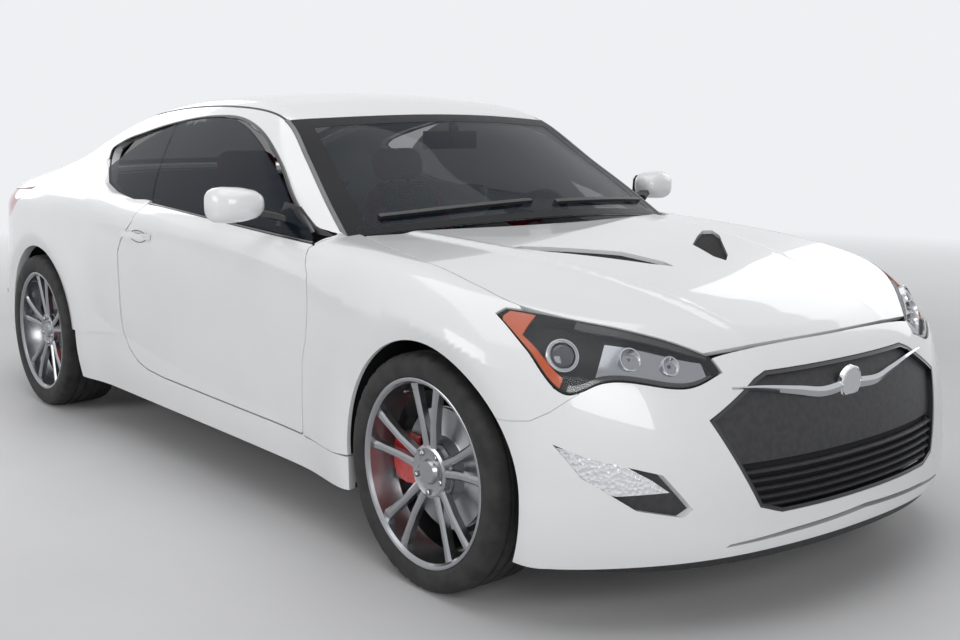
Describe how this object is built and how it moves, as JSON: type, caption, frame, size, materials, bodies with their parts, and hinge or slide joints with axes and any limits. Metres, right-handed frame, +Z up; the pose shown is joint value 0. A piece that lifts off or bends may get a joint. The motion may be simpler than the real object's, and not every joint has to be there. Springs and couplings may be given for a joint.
{
  "type": "coupe car",
  "caption": "Two-door sports coupe car with opening doors, hood and trunk lid, steering front wheels and rolling wheels",
  "frame": {"origin": "centre of the footprint, on the ground", "axes": "+Z up, front of the car faces -Y, its left side faces +X"},
  "size_m": [2.096, 4.632, 1.3842],
  "materials": {
    "body_paint": "gloss",
    "glass": "gloss",
    "lamp": "gloss",
    "red_lamp": "gloss",
    "tyre": "matte",
    "rim_metal": "satin",
    "steel": "satin",
    "cast": "matte",
    "black_trim": "matte",
    "seat_cover": "satin"
  },
  "bodies": {
    "body": {"roof_panel": "body_paint", "windshield": "glass", "rear_window": "glass", "fenders": "body_paint", "front_bumper": "body_paint", "rear_bumper": "body_paint", "front_lamps": "lamp", "tail_lamps": "red_lamp", "side_frames": "body_paint", "side_skirts": "body_paint", "quarter_glasses": "glass", "front_axle": "cast", "rear_axle": "cast", "engine_block": "cast", "floor_pan": "body_paint", "exhaust": "steel", "dashboard": "black_trim", "front_seats": "seat_cover", "rear_seat": "seat_cover", "interior_mirror": "black_trim", "grille": "black_trim", "cowl": "black_trim", "wipers": "black_trim"},
    "hood": {"hood": "body_paint", "hood_vents": "black_trim"},
    "trunk_lid": {"trunk_lid": "body_paint"},
    "steering_wheel": {"steering_wheel": "black_trim"},
    "door_left": {"door_left": "body_paint", "door_glass_left": "glass", "mirror_left": "body_paint", "handle_left": "body_paint"},
    "knuckle_left": {"knuckle_left": "cast"},
    "wheel_front_left": {"tyre_front_left": "tyre", "rim_front_left": "rim_metal"},
    "wheel_rear_left": {"tyre_rear_left": "tyre", "rim_rear_left": "rim_metal"},
    "door_right": {"door_right": "body_paint", "door_glass_right": "glass", "mirror_right": "body_paint", "handle_right": "body_paint"},
    "knuckle_right": {"knuckle_right": "cast"},
    "wheel_front_right": {"tyre_front_right": "tyre", "rim_front_right": "rim_metal"},
    "wheel_rear_right": {"tyre_rear_right": "tyre", "rim_rear_right": "rim_metal"}
  },
  "joints": [
    {"name": "door_left_hinge", "type": "hinge", "parent": "body", "child": "door_left", "pos_m": [0.89, -0.87, 0.6], "axis": [0, 0, -1], "range_deg": [0, 65]},
    {"name": "steer_left", "type": "hinge", "parent": "body", "child": "knuckle_left", "pos_m": [0.76, -1.525, 0.331], "axis": [0, 0, 1], "range_deg": [-33, 33]},
    {"name": "spin_front_left", "type": "hinge", "parent": "knuckle_left", "child": "wheel_front_left", "pos_m": [0.8, -1.525, 0.331], "axis": [1, 0, 0], "continuous": true},
    {"name": "spin_rear_left", "type": "hinge", "parent": "body", "child": "wheel_rear_left", "pos_m": [0.8075, 1.295, 0.339], "axis": [1, 0, 0], "continuous": true},
    {"name": "door_right_hinge", "type": "hinge", "parent": "body", "child": "door_right", "pos_m": [-0.89, -0.87, 0.6], "axis": [0, 0, 1], "range_deg": [0, 65]},
    {"name": "steer_right", "type": "hinge", "parent": "body", "child": "knuckle_right", "pos_m": [-0.76, -1.525, 0.331], "axis": [0, 0, 1], "range_deg": [-33, 33]},
    {"name": "spin_front_right", "type": "hinge", "parent": "knuckle_right", "child": "wheel_front_right", "pos_m": [-0.8, -1.525, 0.331], "axis": [1, 0, 0], "continuous": true},
    {"name": "spin_rear_right", "type": "hinge", "parent": "body", "child": "wheel_rear_right", "pos_m": [-0.8075, 1.295, 0.339], "axis": [1, 0, 0], "continuous": true},
    {"name": "steering_wheel_turn", "type": "hinge", "parent": "body", "child": "steering_wheel", "pos_m": [0.365, -0.545, 0.83], "axis": [0, 0.9135, 0.4067], "range_deg": [-495, 495]},
    {"name": "hood_hinge", "type": "hinge", "parent": "body", "child": "hood", "pos_m": [0, -0.96, 0.93], "axis": [-1, 0, 0], "range_deg": [0, 50]},
    {"name": "trunk_hinge", "type": "hinge", "parent": "body", "child": "trunk_lid", "pos_m": [0, 1.585, 1.045], "axis": [1, 0, 0], "range_deg": [0, 80]}
  ],
  "couplings": [
    {"joint": "steer_left", "follows": "steer_right", "ratio": 1},
    {"joint": "steering_wheel_turn", "follows": "steer_right", "ratio": 15}
  ]
}
